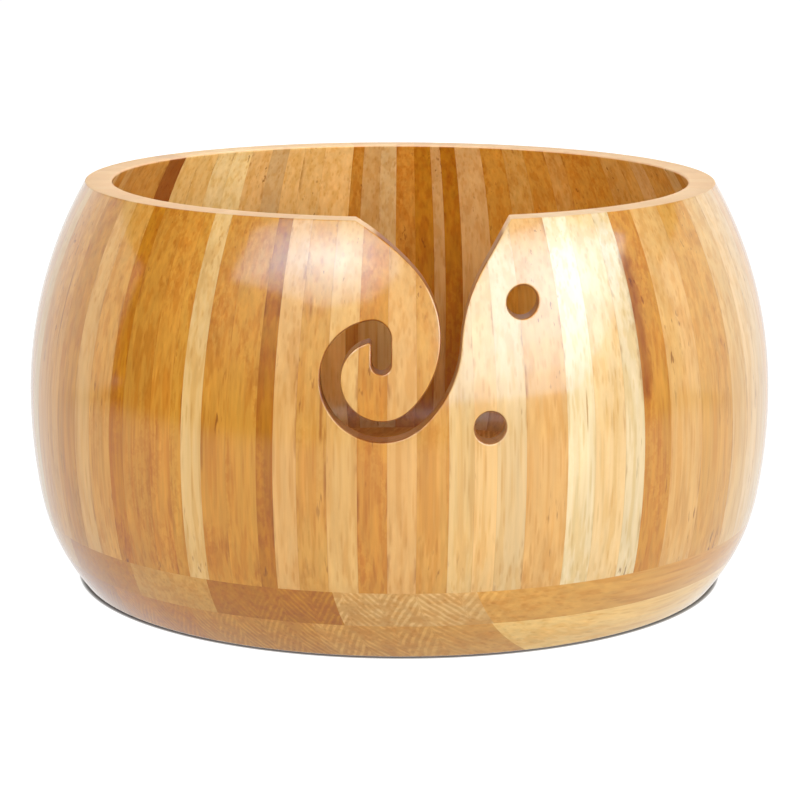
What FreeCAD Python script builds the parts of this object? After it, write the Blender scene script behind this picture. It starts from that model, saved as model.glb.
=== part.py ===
"""Yarn bowl turned from glued bamboo strips.

Upright strips stand side by side like barrel staves and form the wall.
They are glued on a base made of two layers of wide bamboo boards.
A hook-shaped slot guides the yarn out of the bowl, and two drilled holes take a
second strand or a needle.

Frame: origin at the centre of the flat underside, +Z up, the slot faces -Y.
Around the wall, angles are in degrees from the front (-Y) towards +X.
"""
import FreeCAD, Part
import math
import os

# ---- Driving dimensions, mm and degrees -------------------------------------------------

BOWL_HEIGHT = 86.0
BELLY_RADIUS = 80.0          # widest radius, outside
BELLY_LEVEL = 39.5           # height of the widest level
SHOULDER_ARC = 91.7          # outside curve from the belly up to the rim
LOWER_ARC = 115.0            # outside curve from the belly down
HEEL_LEVEL = 19.0            # where the tighter curve into the base begins
HEEL_ARC = 41.0
WALL = 5.1                   # wall thickness, square to the surface
FLOOR_LEVEL = 10.0           # inside floor
FLOOR_CORNER = 15.0          # inside radius between floor and wall
EDGE_EASE = 0.4              # rounding of the rim, slot and hole edges
FOOT_EASE = 0.8              # rounding of the edge that meets the table

BASE_TOP = 15.2              # the wall strips stand on this level
LAYER_LINE = 7.8             # glue line between the two base layers

# Strip widths in degrees, in the order of the angles round the bowl.
FRONT_START = -46.0
FRONT_WIDTHS = (3.0, 5.3, 3.7, 2.0, 3.4, 3.9, 4.7, 2.4, 3.4, 4.2, 4.2, 4.15,
                4.05, 4.4, 3.5, 3.2, 4.2, 6.2, 4.4, 5.1, 3.4, 5.2, 7.0)
BACK_START = 157.2
BACK_WIDTHS = (5.1, 5.7, 3.3, 2.1, 3.6, 3.8, 3.4, 3.7, 2.4, 6.3, 4.6,
               3.7, 4.1, 4.9, 4.6, 4.4, 5.1, 4.8, 5.2, 5.0, 5.5)
RIGHT_STRIPS = 22            # between the front and the back
LEFT_STRIPS = 14
SIDE_WIDTHS = (1.0, 0.82, 1.16, 0.94, 1.25, 0.88, 1.08)   # relative, repeated along each side
STRIPS_PER_NODE = 2
FIRST_CUT_STRIP = 9          # the slot and the holes lie in these strips
LAST_CUT_STRIP = 17

# Base boards: both layers run the same way, with staggered joints.
BOARD_TURN = 47.0            # direction square to the joints
UPPER_JOINTS = (-48.0, -25.0, -1.5, 18.4, 42.6, 62.7)
LOWER_JOINTS = (-57.0, -34.0, -11.0, 12.0, 37.0, 62.5)

# Slot, seen square on from the front: x to the right, z up.
SLOT_WIDTH = 3.8
RING_CENTRE = (-3.4, 57.2)
RING_ARC = 9.75              # middle of the channel, left side and bottom of the ring
CROWN_ARC = 9.0              # middle of the channel over the top of the ring
RISER_ARC = 20.0             # middle of the channel from the ring up to the mouth
RISER_START = 48.0           # degrees below the right-hand side of the ring
TAIL_X = -3.45               # short upright slot at the inner end
TAIL_WIDTH = 3.7
TAIL_END = 60.1              # centre of its round end
TIP_ROUND = 0.6              # point of the curl, beside the tail
CROWN_CORNER = 3.4           # outer corner from the crown into the tail
SHOULDER_TURN = 43.5         # left side of the mouth follows the riser this far past upright
SHOULDER_FLARE_ARC = 46.0
SHOULDER_FLARE_TURN = 25.0
MOUTH_FLARE_ARC = 30.0       # right side of the mouth
MOUTH_FLARE_START = 3.0      # lean when the flare begins
MOUTH_FLARE_LEAN = 32.0      # lean at the rim
MOUTH_RUN = 20.0             # straight run, carried above the rim

HOLE_RADIUS = 3.0
HOLES = ((23.3, 70.9), (17.2, 48.0))

CUT_FRONT = -95.0            # the cutters run along +Y from here
CUT_LENGTH = 60.0            # and stop inside the bowl
CLEAR = 100.0                # larger than any radius of the bowl
BEYOND = 1.0                 # how far a cutting shape passes the rim and the underside
FRONT = -90.0                # direction of the front (-Y), in degrees from +X
NEARLY_ONE = 0.999
TINY = 1e-3

AXIS = FreeCAD.Vector(0, 0, 1)
ORIGIN = FreeCAD.Vector(0, 0, 0)


# ---- Section of the bowl -----------------------------------------------------------------

class Circle:
    """A circle in the section plane, for points at a given height."""

    def __init__(self, x, z, radius):
        self.x = x
        self.z = z
        self.radius = radius

    def at(self, level):
        """Point on the outward side of the circle at this height."""
        return (self.x + math.sqrt(self.radius ** 2 - (level - self.z) ** 2), level)


def section_circles():
    """The outside and inside circles of the section, each tangent to the next."""
    shoulder = Circle(BELLY_RADIUS - SHOULDER_ARC, BELLY_LEVEL, SHOULDER_ARC)
    lower = Circle(BELLY_RADIUS - LOWER_ARC, BELLY_LEVEL, LOWER_ARC)
    join = lower.at(HEEL_LEVEL)
    back = (LOWER_ARC - HEEL_ARC) / LOWER_ARC
    heel = Circle(lower.x + (join[0] - lower.x) * back, lower.z + (join[1] - lower.z) * back, HEEL_ARC)

    shoulder_in = Circle(shoulder.x, shoulder.z, SHOULDER_ARC - WALL)
    lower_in = Circle(lower.x, lower.z, LOWER_ARC - WALL)
    corner_z = FLOOR_LEVEL + FLOOR_CORNER
    reach = lower_in.radius - FLOOR_CORNER
    corner_x = lower.x + math.sqrt(reach ** 2 - (lower.z - corner_z) ** 2)
    corner = Circle(corner_x, corner_z, FLOOR_CORNER)
    return shoulder, lower, heel, shoulder_in, lower_in, corner


def corner_meets_wall(lower_in, corner):
    """Height at which the floor's corner radius runs into the inside of the wall."""
    return lower_in.z - (lower_in.z - corner.z) * lower_in.radius / (lower_in.radius - corner.radius)


def vector(point):
    return FreeCAD.Vector(point[0], 0, point[1])


def arc(circle, low, high):
    """Edge along a circle of the section between two heights, either way round."""
    middle = circle.at((low + high) / 2)
    return Part.Arc(vector(circle.at(low)), vector(middle), vector(circle.at(high))).toShape()


def line(start, end):
    return Part.LineSegment(vector(start), vector(end)).toShape()


def wall_section():
    """Section of the wall, from the base joint to the rim, with sharp rim corners."""
    shoulder, lower, heel, shoulder_in, lower_in, corner = section_circles()
    meets = corner_meets_wall(lower_in, corner)
    edges = [
        arc(heel, BASE_TOP, HEEL_LEVEL),
        arc(lower, HEEL_LEVEL, BELLY_LEVEL),
        arc(shoulder, BELLY_LEVEL, BOWL_HEIGHT),
        line(shoulder.at(BOWL_HEIGHT), shoulder_in.at(BOWL_HEIGHT)),
        arc(shoulder_in, BOWL_HEIGHT, BELLY_LEVEL),
        arc(lower_in, BELLY_LEVEL, meets),
        arc(corner, meets, BASE_TOP),
        line(corner.at(BASE_TOP), heel.at(BASE_TOP)),
    ]
    return Part.Face(Part.Wire(edges))


def upper_layer_section():
    """Section of the upper base layer, dished into the floor of the bowl."""
    heel = section_circles()[2]
    corner = section_circles()[5]
    edges = [
        arc(heel, LAYER_LINE, BASE_TOP),
        line(heel.at(BASE_TOP), corner.at(BASE_TOP)),
        arc(corner, BASE_TOP, FLOOR_LEVEL),
        line((corner.x, FLOOR_LEVEL), (0, FLOOR_LEVEL)),
        line((0, FLOOR_LEVEL), (0, LAYER_LINE)),
        line((0, LAYER_LINE), heel.at(LAYER_LINE)),
    ]
    return Part.Face(Part.Wire(edges))


def lower_layer_section():
    """Section of the lower base layer."""
    heel = section_circles()[2]
    edges = [
        line((0, 0), heel.at(0)),
        arc(heel, 0, LAYER_LINE),
        line(heel.at(LAYER_LINE), (0, LAYER_LINE)),
        line((0, LAYER_LINE), (0, 0)),
    ]
    return Part.Face(Part.Wire(edges))


# ---- Slot and holes ----------------------------------------------------------------------

def trace(start, heading, steps):
    """Edges of a smooth run. A step is (radius, turn), left turns positive, or (None, length)."""
    x, z = start
    edges = []
    for radius, amount in steps:
        if radius is None:
            end = (x + amount * math.cos(heading), z + amount * math.sin(heading))
            edges.append(line((x, z), end))
        else:
            turn = math.radians(amount)
            side = math.copysign(radius, turn)
            centre = (x - side * math.sin(heading), z + side * math.cos(heading))
            half = heading + turn / 2
            middle = (centre[0] + side * math.sin(half), centre[1] - side * math.cos(half))
            heading += turn
            end = (centre[0] + side * math.sin(heading), centre[1] - side * math.cos(heading))
            edges.append(Part.Arc(vector((x, z)), vector(middle), vector(end)).toShape())
        x, z = end
    return edges, (x, z)


def side_of_slot(wall_x, corner_radius, offset, mouth):
    """One side of the slot, from the tail's round end over the crown, round the ring and out."""
    crown_centre_x = RING_CENTRE[0] - RING_ARC + CROWN_ARC
    crown_radius = CROWN_ARC + offset
    across = wall_x - corner_radius - crown_centre_x
    rise = math.sqrt((crown_radius - corner_radius) ** 2 - across ** 2)
    corner_turn = math.degrees(math.atan2(rise, across))
    up_the_tail = RING_CENTRE[1] + rise - TAIL_END
    steps = [
        (None, up_the_tail),
        (corner_radius, corner_turn),
        (crown_radius, 180.0 - corner_turn),
        (RING_ARC + offset, 180.0 - RISER_START),
    ]
    return trace((wall_x, TAIL_END), math.pi / 2, steps + mouth)


def slot_cutter():
    """Solid that cuts the slot through the front of the wall."""
    inner, inner_end = side_of_slot(
        TAIL_X - TAIL_WIDTH / 2, TIP_ROUND, -SLOT_WIDTH / 2,
        [(RISER_ARC - SLOT_WIDTH / 2, RISER_START + SHOULDER_TURN),
         (SHOULDER_FLARE_ARC, SHOULDER_FLARE_TURN)])
    outer, outer_end = side_of_slot(
        TAIL_X + TAIL_WIDTH / 2, CROWN_CORNER, SLOT_WIDTH / 2,
        [(RISER_ARC + SLOT_WIDTH / 2, RISER_START - MOUTH_FLARE_START),
         (MOUTH_FLARE_ARC, MOUTH_FLARE_START - MOUTH_FLARE_LEAN),
         (None, MOUTH_RUN)])
    tail = Part.Arc(
        vector((TAIL_X - TAIL_WIDTH / 2, TAIL_END)),
        vector((TAIL_X, TAIL_END - TAIL_WIDTH / 2)),
        vector((TAIL_X + TAIL_WIDTH / 2, TAIL_END))).toShape()
    lid = line(inner_end, outer_end)
    outline = Part.Wire(Part.__sortEdges__(inner + outer + [tail, lid]))
    face = Part.Face(outline)
    face.translate(FreeCAD.Vector(0, CUT_FRONT, 0))
    return face.extrude(FreeCAD.Vector(0, CUT_LENGTH, 0))


def hole_cutters():
    along = FreeCAD.Vector(0, 1, 0)
    return [Part.makeCylinder(HOLE_RADIUS, CUT_LENGTH, FreeCAD.Vector(x, CUT_FRONT, z), along)
            for x, z in HOLES]


# ---- Wall strips ---------------------------------------------------------------------------

def side_widths(count, start, end):
    """Uneven widths of the strips that fill one side of the bowl between two angles."""
    shares = [SIDE_WIDTHS[i % len(SIDE_WIDTHS)] for i in range(count)]
    return [share * (end - start) / sum(shares) for share in shares]


def strip_angles():
    """Angles of all the joints, from the left of the front once round to the start again."""
    front_end = FRONT_START + sum(FRONT_WIDTHS)
    back_end = BACK_START + sum(BACK_WIDTHS)
    widths = list(FRONT_WIDTHS)
    widths += side_widths(RIGHT_STRIPS, front_end, BACK_START)
    widths += BACK_WIDTHS
    widths += side_widths(LEFT_STRIPS, back_end, FRONT_START + 360.0)
    angles = [FRONT_START]
    for width in widths:
        angles.append(angles[-1] + width)
    return angles


def sector(section, start, end):
    """Part of a turned shape between two angles round the bowl."""
    face = section.copy()
    face.rotate(ORIGIN, AXIS, FRONT + start)
    return face.revolve(ORIGIN, AXIS, end - start)


def wedge(start, end):
    """Everything between two angles round the bowl."""
    bottom = FreeCAD.Vector(0, 0, -BEYOND)
    shape = Part.makeCylinder(CLEAR, BOWL_HEIGHT + 2 * BEYOND, bottom, AXIS, end - start)
    shape.rotate(ORIGIN, AXIS, FRONT + start)
    return shape


def face_kind(face):
    """What made this face of the wall: turning, the rim, a cutter, or a flat glue joint."""
    surface = face.Surface
    if isinstance(surface, Part.Cylinder):
        return "cut"
    if not isinstance(surface, Part.Plane):
        return "turned"
    if abs(surface.Axis.z) > NEARLY_ONE:
        return "rim" if surface.Position.z > BOWL_HEIGHT - TINY else "joint"
    through_axis = abs(surface.Position.dot(surface.Axis)) < TINY
    return "joint" if through_axis else "cut"


def ease_wall(solid):
    """Round every open edge of the wall, and leave the glue joints sharp."""
    edges = []
    for edge in solid.Edges:
        kinds = {face_kind(face) for face in solid.ancestorsOfType(edge, Part.Face)}
        if len(kinds) == 2 and "joint" not in kinds:
            edges.append(edge)
    return solid.makeFillet(EDGE_EASE, edges)


def wall_strips():
    """All the wall strips in order. The slot cuts some of them into several pieces."""
    section = wall_section()
    cutters = [slot_cutter()] + hole_cutters()
    angles = strip_angles()
    left = angles[FIRST_CUT_STRIP]
    right = angles[LAST_CUT_STRIP + 1]
    front = ease_wall(sector(section, left, right).cut(cutters).Solids[0])
    strips = []
    for index, (start, end) in enumerate(zip(angles, angles[1:])):
        if FIRST_CUT_STRIP <= index <= LAST_CUT_STRIP:
            strips.append(front.common(wedge(start, end)))
        else:
            strips.append(ease_wall(sector(section, start, end)))
    return strips


# ---- Base boards ---------------------------------------------------------------------------

def boards(layer, joints):
    """The boards that one layer of the base is glued up from."""
    edges = [-CLEAR] + list(joints) + [CLEAR]
    pieces = []
    for near, far in zip(edges, edges[1:]):
        slab = Part.makeBox(far - near, 2 * CLEAR, CLEAR, FreeCAD.Vector(near, -CLEAR, -CLEAR / 2))
        slab.rotate(ORIGIN, AXIS, FRONT + BOARD_TURN)
        pieces.append(layer.common(slab))
    return pieces


def ease_foot(layer):
    """Round the edge that meets the table."""
    rings = [edge for edge in layer.Edges if edge.BoundBox.ZMax < TINY]
    return layer.makeFillet(FOOT_EASE, rings)


# ---- Parts -----------------------------------------------------------------------------------

def main():
    os.makedirs("parts", exist_ok=True)
    parts = {}
    strips = wall_strips()
    for number, first in enumerate(range(0, len(strips), STRIPS_PER_NODE), start=1):
        solids = [solid for strip in strips[first:first + STRIPS_PER_NODE] for solid in strip.Solids]
        parts["wall_strips_%02d" % number] = Part.makeCompound(solids)

    upper = upper_layer_section().revolve(ORIGIN, AXIS, 360.0)
    lower = ease_foot(lower_layer_section().revolve(ORIGIN, AXIS, 360.0))
    for name, layer, joints in (("upper", upper, UPPER_JOINTS), ("lower", lower, LOWER_JOINTS)):
        for number, board in enumerate(boards(layer, joints), start=1):
            parts["base_%s_board_%d" % (name, number)] = board

    for name, shape in parts.items():
        shape.exportStep("parts/%s.step" % name)
    print("nodes", len(parts), "solids", sum(len(shape.Solids) for shape in parts.values()))


main()
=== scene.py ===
"""Looks of the bamboo yarn bowl: lacquered strips and boards, a white floor, soft lights and the camera.

The wall is made of upright strips, two to a node, and the base of two layers of boards.
Each node gets its own bamboo material. Inside a node the strip is told by the side of the
joint that a point lies on, so every strip has its own tone and its own grain.
"""
import bpy
import math
import random
from mathutils import Matrix, Vector


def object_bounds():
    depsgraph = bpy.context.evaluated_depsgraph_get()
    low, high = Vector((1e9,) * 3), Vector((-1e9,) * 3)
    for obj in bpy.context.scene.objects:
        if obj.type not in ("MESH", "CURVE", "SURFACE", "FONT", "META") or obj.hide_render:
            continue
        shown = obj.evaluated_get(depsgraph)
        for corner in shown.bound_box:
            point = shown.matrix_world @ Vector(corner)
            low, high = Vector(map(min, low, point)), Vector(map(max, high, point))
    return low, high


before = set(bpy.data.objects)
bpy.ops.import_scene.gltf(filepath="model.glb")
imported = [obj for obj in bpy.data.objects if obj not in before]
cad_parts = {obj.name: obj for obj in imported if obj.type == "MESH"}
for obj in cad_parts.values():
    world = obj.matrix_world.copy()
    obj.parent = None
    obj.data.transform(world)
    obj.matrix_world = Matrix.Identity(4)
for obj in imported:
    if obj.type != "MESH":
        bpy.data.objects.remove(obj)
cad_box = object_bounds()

MM = 0.001

# ---- Tones of the bare bamboo, as sRGB ----------------------------------------------------

TONES = {
    "ivory": (0.94, 0.82, 0.53),
    "straw": (0.90, 0.73, 0.42),
    "cream": (0.86, 0.76, 0.58),
    "pale": (0.84, 0.70, 0.48),
    "blond": (0.83, 0.67, 0.42),
    "honey": (0.81, 0.62, 0.35),
    "gold": (0.79, 0.57, 0.25),
    "amber": (0.76, 0.52, 0.17),
    "brown": (0.72, 0.46, 0.07),
    "dark": (0.67, 0.42, 0.05),
    "umber": (0.60, 0.34, 0.12),
}

RIM_HIGHLIGHT_TONE = (0.88, 0.75, 0.61)      # painted highlight: the rim of all the strips made pale in place of its gloss, where it is sanded bare
FLOOR_TONE = (0.86, 0.70, 0.46)    # the inside floor

# The wall strips in the order of the angles round the bowl, from the left of the front
# past the slot and round the back.
FRONT_TONES = (
    "brown", "amber", "amber", "amber", "blond", "amber", "amber", "dark", "honey", "gold", "honey",
    "amber", "honey", "gold", "blond", "blond", "pale", "honey", "cream", "pale", "cream", "amber",
    "honey",
)
RIGHT_TONES = (
    "gold", "gold", "blond", "pale", "pale", "honey", "gold", "blond", "gold", "honey", "amber",
    "blond", "gold", "gold", "honey", "gold", "gold", "amber", "amber", "gold", "amber", "gold",
)
BACK_TONES = (
    "amber", "honey", "dark", "honey", "brown", "amber", "blond", "honey", "amber", "straw", "straw",
    "straw", "blond", "straw", "ivory", "ivory", "straw", "straw", "umber", "gold", "gold",
)
LEFT_TONES = (
    "gold", "honey", "amber", "blond", "gold", "amber", "honey", "gold", "blond", "gold", "gold", "amber",
    "honey", "gold",
)
STRIP_TONES = FRONT_TONES + RIGHT_TONES + BACK_TONES + LEFT_TONES
STRIPS_PER_NODE = 2

UPPER_BOARD_TONES = ("gold", "gold", "brown", "gold", "dark", "honey", "gold")
LOWER_BOARD_TONES = ("amber", "gold", "dark", "brown", "amber", "gold", "straw")
BOARD_TURN = math.radians(47.0)    # the boards' direction, from +X towards +Y

TONE_SPREAD = 0.05                 # how much a strip's lightness may differ from its tone's
HUE_SPREAD = 0.02                  # and how much each of its channels may
SEED = 7

# ---- Shape of the bowl, for the parts that differ -----------------------------------------

TOP = cad_box[1][2]      # m, the rim
RIM_DEPTH = 1.5 * MM     # how far down the rim's sanded and eased edge reaches, with its pale painted highlight
BELLY = 39.5 * MM        # the widest level
SHOULDER = 91.7 * MM     # radius of the outside curve above it
UP = Vector((0.0, 0.0, 1.0))
UPRIGHT = 1e-4           # the most that the normal of an upright face rises
RADIAL = 1e-6            # m, the most that the plane of a joint misses the bowl's axis

# Where one kind of face goes over into another: cosines of the angle that it makes with the turned
# wall there, with straight up, or with the direction of the boards
WALL_FACE = (0.80, 0.96)      # from a cut or an edge to the outside, minus this for the inside
CUT_FACE = (0.96, 0.75)       # from either side of the wall to a cut
UPWARD_FACE = (0.75, 0.95)    # from the side of a board to its broad face
END_FACE = (0.42, 0.62)       # from a board's long side to its slanted end grain
SQUARE_END = (0.93, 0.80)     # from end grain cut square across to slanted end grain

# ---- Bamboo -------------------------------------------------------------------------------

# Features of the grain as noise: size in mm across and along the grain, detail and roughness
STREAKS = (0.9, 24.0, 3.0, 0.60)
BLOTCHES = (5.0, 18.0, 2.0, 0.50)
VEINS = (1.7, 48.0, 2.0, 0.55)
RIPPLES = (1.2, 1.9, 2.0, 0.65)
RIPPLED_PATCHES = (7.0, 24.0, 1.0, 0.50)
SPOTS = (0.9, 8.0, 2.0, 0.60)
SPOTTED_PATCHES = (9.0, 30.0, 1.0, 0.50)
STAINS = (3.0, 20.0, 3.0, 0.70)
RAGGED_EDGE = (1.5, 6.0, 3.0, 0.70)
ROW_WOBBLE = (2.5, 16.0, 2.0, 0.50)
ROW_WEAR = (2.5, 16.0, 1.0, 0.50)

# Values of the noise where a feature starts to show and where it is full
VEIN_RANGE = (0.48, 0.61)
PALE_VEIN_RANGE = (0.46, 0.34)
RIPPLE_RANGE = (0.42, 0.60)
RIPPLED_RANGE = (0.48, 0.62)
SPOT_RANGE = (0.62, 0.72)
SPOTTED_RANGE = (0.54, 0.66)
STAIN_RANGE = (0.54, 0.68)
ROW_WEAR_RANGE = (0.32, 0.50)

# How strongly a feature shows, from 0 to 1. A pair is for plain and for figured wood.
STREAK_CONTRAST = (0.25, 0.70)
BLOTCH_CONTRAST = 0.30
LIGHTNESS = 0.87         # the colour's factor where the streaks are even and a blotch is darkest
VEIN_SHARE = (0.45, 0.90)
PALE_VEIN_SHARE = 0.55
BUNDLE_SHARE = 0.45
FLECK_SHARE = 0.8
JOINT_SHARE = 0.2
STAIN_SHARE = 0.7
MARK_SHARE = 0.9
# how much of the rim's colour is the pale painted highlight
RIM_HIGHLIGHT_SHARE = 0.80
FLOOR_SHARE = 0.55
BOARD_FIGURE = 0.3

FIBRE_SPACING = 0.9      # mm across the grain
FIBRE_LENGTH = 16.0      # mm along the grain
BUNDLE_EDGE = (0.36, 0.16)    # a bundle's edge and its dark middle, in fibre spacings
JOINT_LINE = 0.12        # mm, half width of the dark line along a glue joint
STRIP_CHANGE = 0.01      # mm to each side of a joint, where the tone changes
STAIN_WIDTH = 0.9        # mm, how far a stained edge reaches into a strip
MARK_FADE = 3.0          # mm over which the ends of a dark mark fade
RAGGEDNESS = 2.0         # how much the noise narrows and widens a dark mark
ROW_SPACING = 0.95       # mm between the rows of fibre bundles on the end grain of a board
ROW_SLOPE = math.radians(57.0)
ROW_BAND = 5.5           # mm, the rows lean the other way in every second band
ROW_TURN = 0.1           # how suddenly they do, as a part of the band's wave
ROW_WAVE = 5.0           # radians that the wobble can shift a row by
ROW_EDGES = (-0.4, 0.8)  # the row's wave where the pale row starts and where it is full
GRAIN_REACH = 500        # mm, how far apart the grain of two nodes may lie in the noise
STRIP_JUMP = (20, 60)    # mm, and that of the two strips of a node

# Lacquer
INSIDE_GLOSS = 0.12      # how much of the outside's gloss coat the inside and the cuts have
SMOOTH_WOOD = 0.34       # roughness under the coat
STREAK_ROUGHNESS = 0.2   # how much a streak adds to it
BARE_ROUGHNESS = 0.5     # how much bare wood adds to it
STREAK_RELIEF = 0.4      # height of a streak over the depth of a fibre bundle
OPEN_GRAIN = 0.05 * MM   # how deep the fibre bundles are
OPEN_GRAIN_STRENGTH = 0.25

# What a colour is multiplied by, channel by channel, where the wood differs, with painted shade in the
# cuts and painted light on the inside
BUNDLE_CAST = (0.80, 0.66, 0.42)
RIPPLE_CAST = (0.88, 0.75, 0.50)
VEIN_CAST = (0.88, 0.74, 0.46)
PALE_CAST = (1.06, 1.12, 1.25)
FLECK_CAST = (0.40, 0.26, 0.16)
STAIN_CAST = (0.55, 0.36, 0.16)
# the cut faces of the slot and holes: darker end grain, and painted shade in these recesses
END_GRAIN_AND_SHADE_CAST = (0.52, 0.36, 0.30)
ROW_CAST = (1.22, 1.38, 1.80)
GROUND_CAST = (0.92, 0.86, 0.76)
# painted light: the inside faces of the same strips tinted cooler, as the light inside the bowl
INSIDE_COOL_LIGHT_CAST = (0.90, 0.98, 1.22)

# Dark marks in single strips: angle round the bowl in degrees, then lowest level, highest level
# and half width in mm
MARKS = (
    (37.5, 49.0, 80.0, 2.2),
    (-10.8, 44.0, 60.0, 0.5),
    (-13.0, 67.0, 73.0, 0.6),
    (-63.0, 55.0, 73.0, 0.4),
    (-48.0, 70.5, 73.5, 1.0),
    (27.0, 45.0, 55.0, 0.3),
)

# How much rippled figure the wood of a tone has. The others have little.
FIGURE = {"gold": 0.45, "amber": 0.7, "brown": 0.8, "dark": 0.9}
LITTLE_FIGURE = 0.12


def linear(colour):
    """Scene-linear colour from sRGB."""
    return tuple(c / 12.92 if c <= 0.04045 else ((c + 0.055) / 1.055) ** 2.4 for c in colour)


class Shader:
    """A material's node tree, with short ways to add to it."""

    def __init__(self, name):
        self.material = bpy.data.materials.new(name)
        self.material.use_nodes = True
        self.tree = self.material.node_tree
        self.surface = self.tree.nodes["Principled BSDF"]

    def put(self, socket, value):
        """Link a socket to an output, or set it to a constant. A colour has three numbers."""
        if isinstance(value, bpy.types.NodeSocket):
            self.tree.links.new(value, socket)
        elif socket.type == "RGBA":
            socket.default_value = (*value, 1.0)
        else:
            socket.default_value = value

    def add(self, kind, inputs=(), **settings):
        """A new node. Inputs are (name or number, value) pairs."""
        node = self.tree.nodes.new(kind)
        for key, value in settings.items():
            setattr(node, key, value)
        for key, value in inputs:
            self.put(node.inputs[key], value)
        return node

    def math(self, operation, a, b=0.0):
        return self.add("ShaderNodeMath", ((0, a), (1, b)), operation=operation).outputs[0]

    def dot(self, vector, direction):
        """Component of a vector along a constant direction."""
        node = self.add("ShaderNodeVectorMath", ((0, vector), (1, direction)), operation="DOT_PRODUCT")
        return node.outputs["Value"]

    def ramp(self, value, low, high):
        """0 below low and 1 above high, smooth between. High may be the smaller one."""
        if low > high:
            return self.math("SUBTRACT", 1.0, self.ramp(value, high, low))
        pairs = (("Value", value), ("From Min", low), ("From Max", high))
        node = self.add("ShaderNodeMapRange", pairs, interpolation_type="SMOOTHSTEP")
        return node.outputs["Result"]

    def noise(self, place, feature):
        """The noise of a feature of the grain."""
        across, along, detail, roughness = feature
        pairs = (("Vector", self.scaled(place, across, along)), ("Scale", 1.0),
                 ("Detail", detail), ("Roughness", roughness))
        return self.add("ShaderNodeTexNoise", pairs).outputs["Fac"]

    def scaled(self, place, across, along):
        """Grain coordinates in units of a feature's size across and along the grain."""
        size = (1.0 / across, 1.0 / across, 1.0 / along)
        pairs = ((0, place), (1, size))
        return self.add("ShaderNodeVectorMath", pairs, operation="MULTIPLY").outputs["Vector"]

    def mix(self, share, a, b):
        """A colour that goes from a to b."""
        node = self.tree.nodes.new("ShaderNodeMix")
        node.data_type = "RGBA"
        sockets = {s.name: s for s in node.inputs if s.type == "RGBA"}
        self.put(node.inputs[0], share)
        self.put(sockets["A"], a)
        self.put(sockets["B"], b)
        return next(s for s in node.outputs if s.type == "RGBA")

    def cast(self, share, colour, factors):
        """A colour that goes to itself with its channels multiplied by constant factors."""
        pairs = ((0, colour), (1, factors))
        other = self.add("ShaderNodeVectorMath", pairs, operation="MULTIPLY").outputs["Vector"]
        return self.mix(share, colour, other)

    def between(self, share, a, b):
        """A number that goes from a to b."""
        return self.math("ADD", self.math("MULTIPLY", share, b - a), a)

    def band(self, point, angle, half_width):
        """1 on an upright plane through the bowl's axis, down to 0 half a width in mm beside it."""
        distance = self.math("ABSOLUTE", self.dot(point, sideways(angle) / MM))
        return self.ramp(distance, half_width, 0.0)

    def times(self, colour, factor):
        """A colour made lighter or darker."""
        pairs = (("Scale", factor), (0, colour))
        return self.add("ShaderNodeVectorMath", pairs, operation="SCALE").outputs["Vector"]


def grain_position(shader, across, radial, along, offset):
    """Position in mm in the grain's own directions, shifted so that no two pieces match."""
    place = shader.add("ShaderNodeTexCoord").outputs["Object"]
    parts = [shader.dot(place, direction / MM) for direction in (across, radial, along)]
    combined = shader.add("ShaderNodeCombineXYZ", tuple(enumerate(parts))).outputs["Vector"]
    moved = shader.add("ShaderNodeVectorMath", ((0, combined), (1, offset)), operation="ADD")
    return moved.outputs["Vector"], parts[0]


def bamboo_colour(shader, place, tone, figure, flecks):
    """Tone broken up by streaks, veins, rippled figure, fibre bundles and a few dark flecks.

    Returns the bundles and streaks too, for the relief.
    """
    streaks = shader.noise(place, STREAKS)
    contrast = shader.between(figure, *STREAK_CONTRAST)
    light = shader.math("MULTIPLY", shader.math("SUBTRACT", streaks, 0.5), contrast)
    blotches = shader.math("MULTIPLY", shader.noise(place, BLOTCHES), BLOTCH_CONTRAST)
    light = shader.math("ADD", light, blotches)
    colour = shader.times(tone, shader.math("ADD", light, LIGHTNESS))

    # broad golden veins and pale ones between them
    veins = shader.noise(place, VEINS)
    share = shader.between(figure, *VEIN_SHARE)
    golden = shader.math("MULTIPLY", shader.ramp(veins, *VEIN_RANGE), share)
    pale = shader.math("MULTIPLY", shader.ramp(veins, *PALE_VEIN_RANGE), PALE_VEIN_SHARE)
    colour = shader.cast(golden, colour, VEIN_CAST)
    colour = shader.cast(pale, colour, PALE_CAST)

    # patches of rippled figure, where the fibres wave
    ripples = shader.ramp(shader.noise(place, RIPPLES), *RIPPLE_RANGE)
    patches = shader.ramp(shader.noise(place, RIPPLED_PATCHES), *RIPPLED_RANGE)
    rippled = shader.math("MULTIPLY", shader.math("MULTIPLY", ripples, patches), figure)
    colour = shader.cast(rippled, colour, RIPPLE_CAST)

    cell_place = shader.scaled(place, FIBRE_SPACING, FIBRE_LENGTH)
    cells = shader.add("ShaderNodeTexVoronoi", (("Vector", cell_place), ("Scale", 1.0)))
    bundle = shader.ramp(cells.outputs["Distance"], *BUNDLE_EDGE)
    colour = shader.cast(shader.math("MULTIPLY", bundle, BUNDLE_SHARE), colour, BUNDLE_CAST)

    spots = shader.ramp(shader.noise(place, SPOTS), *SPOT_RANGE)
    patches = shader.ramp(shader.noise(place, SPOTTED_PATCHES), *SPOTTED_RANGE)
    fleck = shader.math("MULTIPLY", spots, patches)
    colour = shader.cast(shader.math("MULTIPLY", fleck, flecks), colour, FLECK_CAST)
    return colour, bundle, streaks


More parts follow.
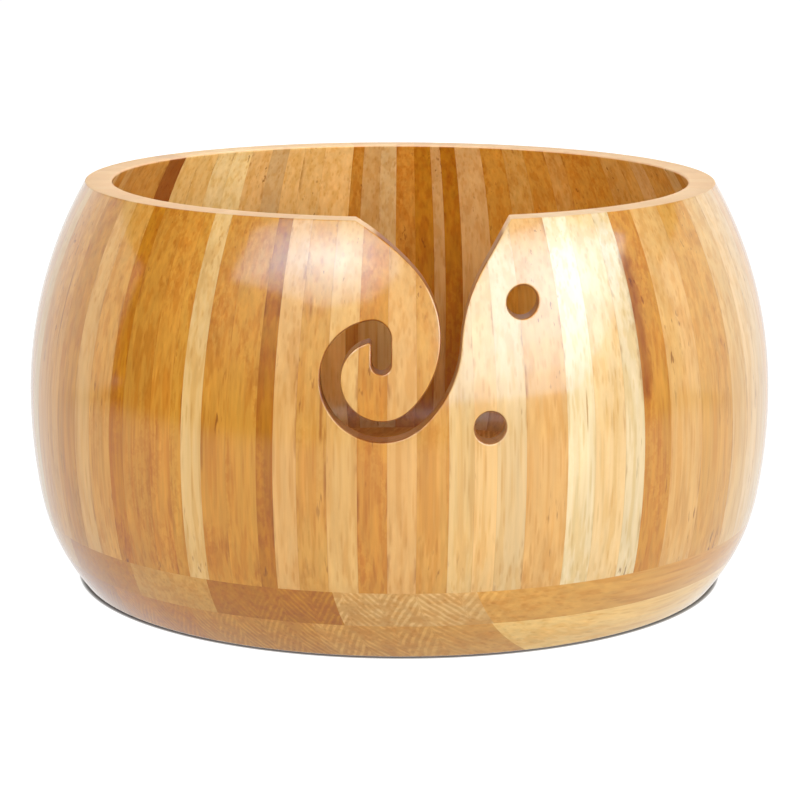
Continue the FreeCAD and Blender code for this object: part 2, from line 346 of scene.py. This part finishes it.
def lacquer(shader, colour, bundle, streaks, gloss, bare=0.0):
    """Clear gloss over wood with faint open grain. Where it is bare the wood is dull."""
    surface = shader.surface.inputs
    shader.put(surface["Base Color"], colour)
    rough = shader.math("ADD", shader.math("MULTIPLY", streaks, STREAK_ROUGHNESS), SMOOTH_WOOD)
    rough = shader.math("ADD", rough, shader.math("MULTIPLY", bare, BARE_ROUGHNESS))
    shader.put(surface["Roughness"], rough)
    height = shader.math("SUBTRACT", shader.math("MULTIPLY", streaks, STREAK_RELIEF), bundle)
    pairs = (("Strength", OPEN_GRAIN_STRENGTH), ("Distance", OPEN_GRAIN), ("Height", height))
    shader.put(surface["Normal"], shader.add("ShaderNodeBump", pairs).outputs["Normal"])
    shader.put(surface["Coat Weight"], gloss)
    surface["Specular IOR Level"].default_value = 0.15
    surface["Coat Roughness"].default_value = 0.10
    surface["Coat IOR"].default_value = 1.5


def varied(tone_name, chance):
    """A tone a little lighter or darker than its name says."""
    light = chance.uniform(1 - TONE_SPREAD, 1 + TONE_SPREAD)
    channels = linear(TONES[tone_name])
    return tuple(c * light * chance.uniform(1 - HUE_SPREAD, 1 + HUE_SPREAD) for c in channels)


def grain_offset(chance):
    """Where the grain of a node starts in the noise."""
    return tuple(chance.uniform(0, GRAIN_REACH) for _ in range(3))


def joint_angles(node):
    """Angles of a wall node's joint faces, from the front towards +X: start, middle and end."""
    middle = sum((v.co for v in node.data.vertices), Vector()) / len(node.data.vertices)
    turn = math.atan2(middle.x, -middle.y)
    angles = set()
    for face in node.data.polygons:
        centre = face.center
        upright = abs(face.normal.z) < UPRIGHT
        if upright and abs(face.normal.x * centre.x + face.normal.y * centre.y) < RADIAL:
            local = Matrix.Rotation(-turn, 3, "Z") @ centre
            angles.add(round(math.degrees(math.atan2(local.x, -local.y)), 1))
    angles = sorted(math.radians(angle) + turn for angle in angles)
    return angles[0], angles[len(angles) // 2], angles[-1]


def sideways(angle):
    """Unit vector along the wall, towards larger angles."""
    return Vector((math.cos(angle), math.sin(angle), 0.0))


def outwards(angle):
    """Unit vector away from the bowl's axis."""
    return Vector((math.sin(angle), -math.cos(angle), 0.0))


def stained_joints(shader, place, point, joints, colour):
    """Thin dark lines along the glue joints, with stains that reach into the strips here and there."""
    stain = shader.ramp(shader.noise(place, STAINS), *STAIN_RANGE)
    for angle in joints:
        line = shader.band(point, angle, JOINT_LINE)
        colour = shader.cast(shader.math("MULTIPLY", line, JOINT_SHARE), colour, STAIN_CAST)
        edge = shader.math("MULTIPLY", shader.band(point, angle, STAIN_WIDTH), stain)
        colour = shader.cast(shader.math("MULTIPLY", edge, STAIN_SHARE), colour, STAIN_CAST)
    return colour


def dark_marks(shader, place, point, start, end, colour):
    """The dark marks whose angle lies on this node."""
    for degrees, low, high, half_width in MARKS:
        angle = math.radians(degrees)
        if start < angle < end:
            ragged = shader.math("MULTIPLY", shader.noise(place, RAGGED_EDGE), RAGGEDNESS)
            height = shader.dot(point, UP / MM)
            aside = shader.math("ABSOLUTE", shader.dot(point, sideways(angle) / MM))
            mark = shader.ramp(shader.math("MULTIPLY", aside, ragged), half_width, 0.0)
            mark = shader.math("MULTIPLY", mark, shader.ramp(height, low, low + MARK_FADE))
            mark = shader.math("MULTIPLY", mark, shader.ramp(height, high, high - MARK_FADE))
            colour = shader.cast(shader.math("MULTIPLY", mark, MARK_SHARE), colour, STAIN_CAST)
    return colour


def wall_facing(shader, point, angle):
    """How squarely a face looks outwards as the turned wall does: 1 outside, -1 inside, less in a cut."""
    normal = shader.add("ShaderNodeNewGeometry").outputs["Normal"]
    lean = shader.math("DIVIDE", shader.math("SUBTRACT", shader.dot(point, UP), BELLY), SHOULDER)
    level = shader.math("SQRT", shader.math("SUBTRACT", 1.0, shader.math("POWER", lean, 2.0)))
    return shader.math("ADD", shader.math("MULTIPLY", level, shader.dot(normal, outwards(angle))),
                       shader.math("MULTIPLY", lean, shader.dot(normal, UP)))


def wall_material(number, node, chance):
    """Material of a wall node that holds two strips."""
    shader = Shader("wall_bamboo_%02d" % number)
    start, middle, end = joint_angles(node)
    offset = grain_offset(chance)
    place, across = grain_position(shader, sideways(middle), outwards(middle), UP, offset)
    right = shader.ramp(across, -STRIP_CHANGE, STRIP_CHANGE)
    jump = shader.math("MULTIPLY", right, chance.uniform(*STRIP_JUMP))
    place = shader.add("ShaderNodeVectorMath", ((0, place), (1, jump)), operation="ADD").outputs["Vector"]
    point = shader.add("ShaderNodeTexCoord").outputs["Object"]

    first = STRIPS_PER_NODE * (number - 1)
    names = STRIP_TONES[first:first + STRIPS_PER_NODE]
    tone = shader.mix(right, *(varied(name, chance) for name in names))
    figure = shader.between(right, *(FIGURE.get(name, LITTLE_FIGURE) for name in names))
    colour, bundle, streaks = bamboo_colour(shader, place, tone, figure, FLECK_SHARE)
    colour = stained_joints(shader, place, point, (start, middle, end), colour)
    colour = dark_marks(shader, place, point, start, end, colour)

    # the slot and holes are cut through the strips and stay dark, partly as end grain and partly as
    # painted shade; the rim is sanded bare and made pale with a painted highlight in place of its gloss
    facing = wall_facing(shader, point, middle)
    cut = shader.ramp(shader.math("ABSOLUTE", facing), *CUT_FACE)
    rim = shader.ramp(shader.dot(point, UP), TOP - 2 * RIM_DEPTH, TOP - RIM_DEPTH)
    rim = shader.math("MULTIPLY", rim, cut)
    inside = shader.ramp(facing, *(-cosine for cosine in WALL_FACE))
    outside = shader.ramp(facing, *WALL_FACE)
    # painted shade, with end grain, on the cut faces of the slot and holes
    colour = shader.cast(shader.math("SUBTRACT", cut, rim), colour, END_GRAIN_AND_SHADE_CAST)
    colour = shader.mix(shader.math("MULTIPLY", rim, RIM_HIGHLIGHT_SHARE), colour, linear(RIM_HIGHLIGHT_TONE))
    # painted cool light on the inside faces
    colour = shader.cast(inside, colour, INSIDE_COOL_LIGHT_CAST)
    gloss = shader.between(outside, INSIDE_GLOSS, 1.0)
    gloss = shader.math("MULTIPLY", gloss, shader.math("SUBTRACT", 1.0, rim))
    lacquer(shader, colour, bundle, streaks, gloss, rim)
    return shader.material


def fibre_rows(shader, place, point, wide):
    """Rows of fibre bundles, which lean one way and the other in turn, worn away here and there."""
    wave = shader.math("SINE", shader.math("MULTIPLY", wide, math.pi / ROW_BAND))
    leaning = shader.between(shader.ramp(wave, -ROW_TURN, ROW_TURN), -1.0, 1.0)
    height = shader.dot(point, UP * math.cos(ROW_SLOPE) / MM)
    square = shader.math("ADD", shader.math("MULTIPLY", wide, math.sin(ROW_SLOPE)),
                         shader.math("MULTIPLY", height, leaning))
    wobble = shader.math("MULTIPLY", shader.noise(place, ROW_WOBBLE), ROW_WAVE)
    turn = shader.math("ADD", shader.math("MULTIPLY", square, math.tau / ROW_SPACING), wobble)
    row = shader.ramp(shader.math("SINE", turn), *ROW_EDGES)
    worn = shader.ramp(shader.noise(place, ROW_WEAR), *ROW_WEAR_RANGE)
    return shader.math("MULTIPLY", row, worn)


def board_material(name, tone_name, chance):
    """Material of a base board, whose grain runs level along the board."""
    shader = Shader(name)
    across = outwards(BOARD_TURN)
    along = sideways(BOARD_TURN)
    offset = grain_offset(chance)
    place, wide = grain_position(shader, across, UP, along, offset)
    point = shader.add("ShaderNodeTexCoord").outputs["Object"]
    tone = varied(tone_name, chance)
    colour, bundle, streaks = bamboo_colour(shader, place, tone, BOARD_FIGURE, 0.0)

    # pale rows of bundles on a darker ground, where the turned side cuts the end grain at a slant
    normal = shader.add("ShaderNodeNewGeometry").outputs["Normal"]
    square_on = shader.math("ABSOLUTE", shader.dot(normal, along))
    end_grain = shader.math("MULTIPLY", shader.ramp(square_on, *END_FACE),
                            shader.ramp(square_on, *SQUARE_END))
    rows = fibre_rows(shader, place, point, wide)
    colour = shader.cast(end_grain, colour, GROUND_CAST)
    colour = shader.cast(shader.math("MULTIPLY", end_grain, rows), colour, ROW_CAST)

    # the broad faces, which make the inside floor, are paler than the edges
    upward = shader.ramp(shader.dot(normal, UP), *UPWARD_FACE)
    colour = shader.mix(shader.math("MULTIPLY", upward, FLOOR_SHARE), colour, linear(FLOOR_TONE))
    lacquer(shader, colour, bundle, streaks, shader.between(upward, 1.0, INSIDE_GLOSS))
    return shader.material


def dress(node, material):
    """Give a node one material."""
    node.data.materials.clear()
    node.data.materials.append(material)


def dress_bowl():
    """Give every node of the bowl its bamboo."""
    chance = random.Random(SEED)
    for number in range(1, len(STRIP_TONES) // STRIPS_PER_NODE + 1):
        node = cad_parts["wall_strips_%02d" % number]
        dress(node, wall_material(number, node, chance))
    for layer, tones in (("upper", UPPER_BOARD_TONES), ("lower", LOWER_BOARD_TONES)):
        for number, tone in enumerate(tones, start=1):
            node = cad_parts["base_%s_board_%d" % (layer, number)]
            dress(node, board_material("base_%s_bamboo_%d" % (layer, number), tone, chance))


# ---- Floor, light and camera --------------------------------------------------------------

TARGET = Vector((0.0, 0.0, 0.045))    # what the lights are aimed at
STAGE_SIZE = 8.0                      # m from the bowl to the backdrop
BACKDROP_HEIGHT = 6.0                 # m
BACKDROP_STEPS = 32
WHITE = 1.0                           # brightness of the floor and backdrop
CONTACT = 0.001                       # m, how narrow a gap under the bowl gets the floor's painted contact shadow
CONTACT_POWER = 3.0
MIRRORED_REACH = (0.80, 0.28)         # m from the bowl, where its lacquer stops mirroring the floor
MIRRORED_BEHIND = (0.0, 0.2)          # m behind its centre, past which it mirrors all the floor
MIRRORED_DEPTH = 0.005                # m, how far the mirrored floor is below the one in view
MIRRORED_TURNS = (96, 264)            # degrees, the part of the backdrop that it mirrors
MIRRORED_HEIGHT = 3.0                 # m of it
ROOM_LIGHT = 0.15
SOFTBOX_DISTANCE = 3.0                # m
SOFTBOX_STEP = 0.02                   # m that each brighter layer of a softbox is in front of the last
DAYLIGHT = (0.50, 0.76, 1.0)          # the softboxes are cooler than the room
INSIDE_TINT = (0.86, 0.92, 1.0)       # and the light from above is a little cooler
INSIDE_SPREAD = math.radians(13)      # it falls into the bowl and hardly on the outside

# Diffuse lights: turn and rise in degrees, distance, width and height in m, and radiance
LIGHTS = {
    "key_light": (74, 14, 1.4, 1.3, 1.0, 4.5),
    "left_light": (-48, 24, 1.2, 0.8, 0.6, 4.4),
    "front_light": (0, 11, 1.8, 2.0, 0.8, 5.2),
    "back_light": (180, 38, 1.6, 1.8, 1.0, 3.4),
}
INSIDE_LIGHT = (0, 90, 0.6, 0.05, 0.05, 6.5)

# Softboxes: turn and rise of the corners and of the centre, then the radiance of each layer inwards
SOFTBOXES = {
    "right_box": (
        ((12, 4.5), (54, 4.5), (90, 30), (68, 41), (38, 44), (12, 43)),
        (60, 32),
        (4.5, 6.5, 8.5, 9.5),
    ),
    "left_box": (
        ((-60, 29), (-60, 42), (-30, 51), (0, 50), (0, 38), (-10, 31), (-25, 28)),
        (-25, 41),
        (3.5, 5.5, 8.0, 11.0, 14.0),
    ),
}

EYE = (0.00011, -0.565, 0.1565)       # m, where the camera is
PITCH = 0.20855                       # radians that the camera looks down
ROLL = 0.00307                        # radians
SENSOR_WIDTH = 36.0                   # mm
LENS = 118.62                         # mm


def towards(turn, rise):
    """Direction from the bowl. Turn is from the front towards +X and rise is from level, in degrees."""
    return outwards(math.radians(turn)) * math.cos(math.radians(rise)) + UP * math.sin(math.radians(rise))


def glowing(name, strength, colour=(1.0, 1.0, 1.0), base=0.0):
    """A surface that gives off even light."""
    shader = Shader(name)
    surface = shader.surface.inputs
    surface["Base Color"].default_value = (base, base, base, 1.0)
    surface["Specular IOR Level"].default_value = 0.0
    surface["Roughness"].default_value = 0.9
    surface["Emission Color"].default_value = (*colour, 1.0)
    surface["Emission Strength"].default_value = strength
    return shader


def stage_piece(name, corners, faces, material, mirrored=True):
    """A piece of the studio. It lights the bowl only where the lacquer mirrors it."""
    mesh = bpy.data.meshes.new(name)
    mesh.from_pydata(corners, [], faces)
    mesh.materials.append(material)
    piece = bpy.data.objects.new(name, mesh)
    bpy.context.scene.collection.objects.link(piece)
    piece.visible_diffuse = False
    piece.visible_glossy = mirrored
    return piece


def curved_wall(name, turns, height, material, mirrored):
    """An upright wall round the bowl, either in view or in the lacquer's mirror image."""
    start, end = turns
    steps = BACKDROP_STEPS
    turns = [start + (end - start) * k / steps for k in range(steps + 1)]
    feet = [towards(turn, 0) * STAGE_SIZE - UP * MIRRORED_DEPTH for turn in turns]
    tops = [foot + UP * height for foot in feet]
    faces = [(k, k + 1, steps + k + 2, steps + k + 1) for k in range(steps)]
    wall = stage_piece(name, feet + tops, faces, material, mirrored)
    wall.visible_camera = not mirrored


def studio():
    """A white floor and a white wall all round. The lacquer mirrors only some of them."""
    shader = glowing("studio_white", WHITE, base=0.15)
    white = shader.material
    # painted contact shadow: the glowing floor darkens only in the narrow gap under the bowl's edge
    gap = shader.add("ShaderNodeAmbientOcclusion", (("Distance", CONTACT),), samples=16)
    shade = shader.math("MULTIPLY", shader.math("POWER", gap.outputs["AO"], CONTACT_POWER), WHITE)
    shader.put(shader.surface.inputs["Emission Strength"], shade)
    half = STAGE_SIZE
    corners = [(-half, -half, 0), (half, -half, 0), (half, half, 0), (-half, half, 0)]
    stage_piece("floor", corners, [(0, 1, 2, 3)], white, mirrored=False)

    # the lacquer mirrors another floor, only near the bowl and behind it
    shader = glowing("mirrored_white", WHITE)
    point = shader.add("ShaderNodeTexCoord").outputs["Object"]
    reach = shader.add("ShaderNodeVectorMath", ((0, point),), operation="LENGTH").outputs["Value"]
    near = shader.ramp(reach, *MIRRORED_REACH)
    behind = shader.ramp(shader.dot(point, (0.0, 1.0, 0.0)), *MIRRORED_BEHIND)
    shader.put(shader.surface.inputs["Emission Strength"], shader.math("MAXIMUM", near, behind))
    lower = [(x, y, -MIRRORED_DEPTH) for x, y, _ in corners]
    mirrored_floor = stage_piece("mirrored_floor", lower, [(0, 1, 2, 3)], shader.material)
    mirrored_floor.visible_camera = False
    curved_wall("backdrop", (0, 360), BACKDROP_HEIGHT, white, mirrored=False)
    curved_wall("mirrored_wall", MIRRORED_TURNS, MIRRORED_HEIGHT, white, mirrored=True)


def room_light(strength):
    """Even white light from all round, too diffuse to show in the lacquer."""
    world = bpy.data.worlds.new("white_room")
    bpy.context.scene.world = world
    world.use_nodes = True
    background = world.node_tree.nodes["Background"]
    background.inputs["Color"].default_value = (1.0, 1.0, 1.0, 1.0)
    background.inputs["Strength"].default_value = strength
    world.cycles_visibility.glossy = False


def soft_light(name, turn, rise, distance, width, height, radiance):
    """A flat light aimed at the bowl that is too diffuse to show in the lacquer."""
    light = bpy.data.lights.new(name, "AREA")
    light.shape = "RECTANGLE"
    light.size = width
    light.size_y = height
    light.energy = radiance * math.pi * width * height
    lamp = bpy.data.objects.new(name, light)
    bpy.context.scene.collection.objects.link(lamp)
    direction = towards(turn, rise)
    lamp.location = TARGET + direction * distance
    lamp.rotation_euler = direction.to_track_quat("Z", "Y").to_euler()
    lamp.visible_glossy = False
    return light


def softbox(name, corners, centre, radiances):
    """The mirror image of a softbox, brighter towards its centre. Corners are (turn, rise) pairs."""
    axis = towards(*centre)
    for step, radiance in enumerate(radiances):
        distance = SOFTBOX_DISTANCE - SOFTBOX_STEP * step
        size = 1.0 - step / len(radiances)
        points = []
        for corner in corners:
            ray = towards(*corner)
            aside = ray / ray.dot(axis) - axis
            points.append(TARGET + (axis + aside * size) * distance)
        layer = "%s_%d" % (name, step + 1)
        material = glowing(layer, radiance, DAYLIGHT).material
        panel = stage_piece(layer, points, [tuple(range(len(points)))], material)
        panel.visible_camera = False
        panel.visible_shadow = False


def lighting():
    """The diffuse lights and the softboxes that the lacquer mirrors."""
    room_light(ROOM_LIGHT)
    for name, numbers in LIGHTS.items():
        soft_light(name, *numbers)
    inside = soft_light("inside_light", *INSIDE_LIGHT)
    inside.spread = INSIDE_SPREAD
    inside.color = INSIDE_TINT
    for name, (corners, centre, radiances) in SOFTBOXES.items():
        softbox(name, corners, centre, radiances)


def camera():
    """The view of the front from a little above."""
    data = bpy.data.cameras.new("camera")
    data.sensor_width = SENSOR_WIDTH
    data.lens = LENS
    eye = bpy.data.objects.new("camera", data)
    bpy.context.scene.collection.objects.link(eye)
    eye.matrix_world = (Matrix.Translation(EYE)
                        @ Matrix.Rotation(math.pi / 2 - PITCH, 4, "X")
                        @ Matrix.Rotation(ROLL, 4, "Z"))
    bpy.context.scene.camera = eye


dress_bowl()
studio()
lighting()
camera()
bpy.context.scene.view_settings.view_transform = "Standard"
